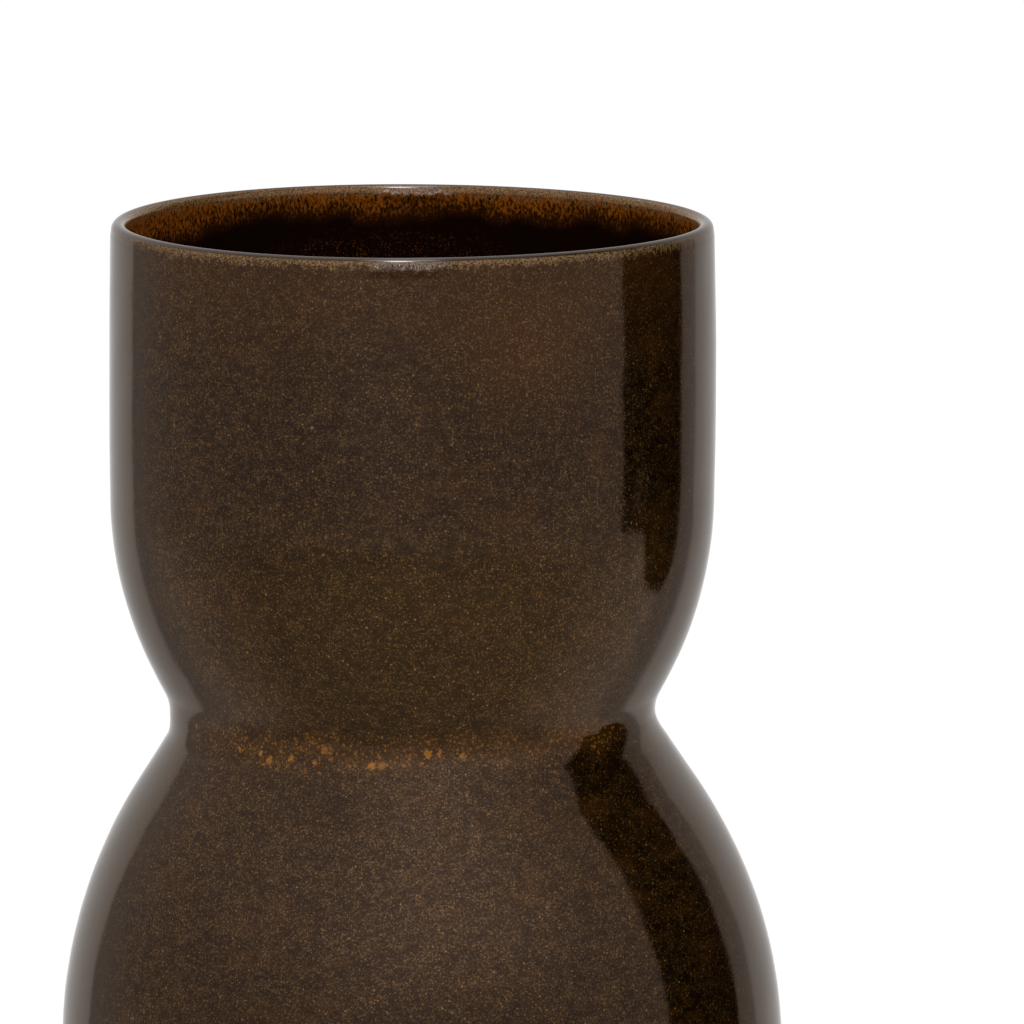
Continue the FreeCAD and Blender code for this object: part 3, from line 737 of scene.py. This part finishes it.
def make_floor():
    """A pale table top that runs out into the white backdrop."""
    mesh = bpy.data.meshes.new("table_top")
    turn = np.linspace(0.0, 2 * math.pi, FLOOR_SIDES + 1)[:-1]
    rim = [(FLOOR_RADIUS * math.cos(a), FLOOR_RADIUS * math.sin(a), 0.0) for a in turn]
    mesh.from_pydata(rim, [], [list(range(len(rim)))])
    floor = bpy.data.objects.new("table_top", mesh)
    bpy.context.scene.collection.objects.link(floor)
    material = bpy.data.materials.new("pale_table")
    material.use_nodes = True
    nodes = Nodes(material.node_tree)
    place = nodes.add("ShaderNodeTexCoord").outputs["Object"]
    out = nodes.add("ShaderNodeVectorMath", {0: place}, operation="LENGTH").outputs["Value"]
    diffuse = nodes.add("ShaderNodeBsdfDiffuse", {"Color": FLOOR_GREY}).outputs[0]
    glow = nodes.add("ShaderNodeEmission", {"Color": (1.0, 1.0, 1.0), "Strength": FLOOR_GLOW}).outputs[0]
    lit = nodes.add("ShaderNodeAddShader", {0: diffuse, 1: glow}).outputs[0]
    clear = nodes.add("ShaderNodeBsdfTransparent").outputs[0]
    fade = nodes.ease(out, FLOOR_FADE, FLOOR_RADIUS * 0.97)
    surface = nodes.add("ShaderNodeMixShader", {0: fade, 1: lit, 2: clear}).outputs[0]
    nodes.add("ShaderNodeOutputMaterial", {"Surface": surface})
    floor.data.materials.append(material)
    floor.visible_glossy = False
    floor.visible_diffuse = False


# What the glaze reflects on every side, as (azimuth in degrees, brightness) stops, for ways that look level,
# down and up. The white backdrop is behind the vase, past 135 degrees on both sides.
WALLS = (
    (-180, 1.0), (-150, 1.0), (-140, 0.94), (-135, 0.87), (-134, 0.40), (-126, 0.46), (-115, 0.42),
    (-104, 0.38), (-75, 0.33), (-40, 0.33), (-10, 0.40), (20, 0.34), (45, 0.33), (86, 0.36),
    (123, 0.40), (135.5, 0.50), (136.5, 0.82), (150, 1.0), (180, 1.0),
)
TABLE = (
    (-180, 0.95), (-136, 0.82), (-133, 0.42), (-127, 0.46), (-112, 0.54), (-96, 0.40),
    (-79, 0.28), (-60, 0.20), (0, 0.20), (60, 0.22), (80, 0.38), (97, 0.50), (113, 0.58),
    (122, 0.43), (134, 0.44), (139, 0.88), (180, 0.98),
)
CEILING = (
    (-180, 1.0), (-135.5, 0.90), (-134, 0.54), (-90, 0.45), (-45, 0.48), (0, 0.70),
    (25, 0.68), (45, 0.56), (71, 0.42), (122, 0.32), (135.5, 0.34), (136.5, 0.64),
    (150, 0.74), (180, 1.0),
)
TABLE_TO_WALLS, WALLS_TO_CEILING = (-18.0, -9.0), (4.0, 34.0)  # degrees up, where one fades into the next
GAP_START, GAP_END = (86.6, 88.2), (122.4, 124.0)  # degrees round, where the dark gap's edges fade
GAP_FOOT, GAP_TOP = -9.4, (55.0, 70.0)  # degrees up
GAP_FADE = 0.6  # how far the foot's edge fades to each side
FOOT_STEP_DOWN, DOWN_PLACE = -11.0, (97.5, 107.0)  # how far the foot steps down, and where round
FOOT_STEP_UP, UP_PLACE = 6.0, (118.0, 124.5)
ZENITH_LAMP, LAMP_EDGE = 2.5, (81.0, 84.0)  # brightness of the lamp overhead, and degrees up
SOFT_BOX, BOX_SIDE = 9.0, (6.0, 16.0)  # the same of the box above the front, and degrees to each side
BOX_LOW, BOX_HIGH = (67.0, 71.0), (80.0, 84.0)
GLOW_OF_BACKDROP = 1.02


def make_studio():
    """A white backdrop behind the vase, and round it the screens that its glaze reflects."""
    world = bpy.data.worlds.new("studio")
    world.use_nodes = True
    bpy.context.scene.world = world
    nodes = Nodes(world.node_tree)
    way = nodes.add("ShaderNodeTexCoord").outputs["Generated"]
    x, y, z = nodes.split(way, "ShaderNodeSeparateXYZ")
    azimuth = nodes.product(nodes.math("ARCTAN2", x, nodes.product(y, -1.0)), 180.0 / math.pi)
    height = nodes.product(nodes.math("ARCSINE", z), 180.0 / math.pi)
    turn = nodes.math("DIVIDE", nodes.math("ADD", azimuth, 180.0), 360.0)

    def screens(stops):
        return nodes.ramp(turn, [((degrees + 180.0) / 360.0, level) for degrees, level in stops])

    level = nodes.blend(nodes.ease(height, *TABLE_TO_WALLS), screens(TABLE), screens(WALLS))
    level = nodes.blend(nodes.ease(height, *WALLS_TO_CEILING), level, screens(CEILING))
    foot = nodes.math("ADD", GAP_FOOT, nodes.ease(azimuth, *DOWN_PLACE, 0.0, FOOT_STEP_DOWN))
    foot = nodes.math("ADD", foot, nodes.ease(azimuth, *UP_PLACE, 0.0, FOOT_STEP_UP))
    gap = nodes.product(nodes.ease(azimuth, *GAP_START), nodes.ease(azimuth, *GAP_END, 1.0, 0.0),
                        nodes.ease(nodes.math("SUBTRACT", height, foot), -GAP_FADE, GAP_FADE),
                        nodes.ease(height, *GAP_TOP, 1.0, 0.0))
    level = nodes.product(level, nodes.math("SUBTRACT", 1.0, gap))
    level = nodes.math("ADD", level, nodes.ease(height, *LAMP_EDGE, 0.0, ZENITH_LAMP))
    box = nodes.product(nodes.ease(nodes.math("ABSOLUTE", azimuth), *BOX_SIDE, 1.0, 0.0),
                        nodes.ease(height, *BOX_LOW), nodes.ease(height, *BOX_HIGH, 1.0, 0.0))
    level = nodes.math("ADD", level, nodes.product(box, SOFT_BOX))

    seen = nodes.add("ShaderNodeLightPath").outputs["Is Camera Ray"]
    studio = nodes.add("ShaderNodeBackground", {"Color": (1.0, 1.0, 1.0), "Strength": level}).outputs[0]
    plain = {"Color": (1.0, 1.0, 1.0), "Strength": GLOW_OF_BACKDROP}
    backdrop = nodes.add("ShaderNodeBackground", plain).outputs[0]
    surface = nodes.add("ShaderNodeMixShader", {0: seen, 1: studio, 2: backdrop}).outputs[0]
    nodes.add("ShaderNodeOutputWorld", {"Surface": surface})


CAMERA_DISTANCE = 3.5
CAMERA_TILT = math.radians(8.35)  # how far it looks down
SEEN_WIDTH = 0.238  # at the distance of the vase
AIM = Vector((0.02318, 0.0, LIP_CREST * MM - 0.0683))


def make_camera():
    data = bpy.data.cameras.new("camera")
    data.lens = data.sensor_width * CAMERA_DISTANCE / SEEN_WIDTH
    data.clip_start, data.clip_end = 0.1, 20.0
    camera = bpy.data.objects.new("camera", data)
    camera.rotation_euler = (math.pi / 2 - CAMERA_TILT, 0.0, 0.0)
    back = Vector((0.0, -math.cos(CAMERA_TILT), math.sin(CAMERA_TILT)))
    camera.location = AIM + back * CAMERA_DISTANCE
    bpy.context.scene.collection.objects.link(camera)
    bpy.context.scene.camera = camera


make_floor()
make_studio()
make_camera()
bpy.context.scene.view_settings.view_transform = "Standard"
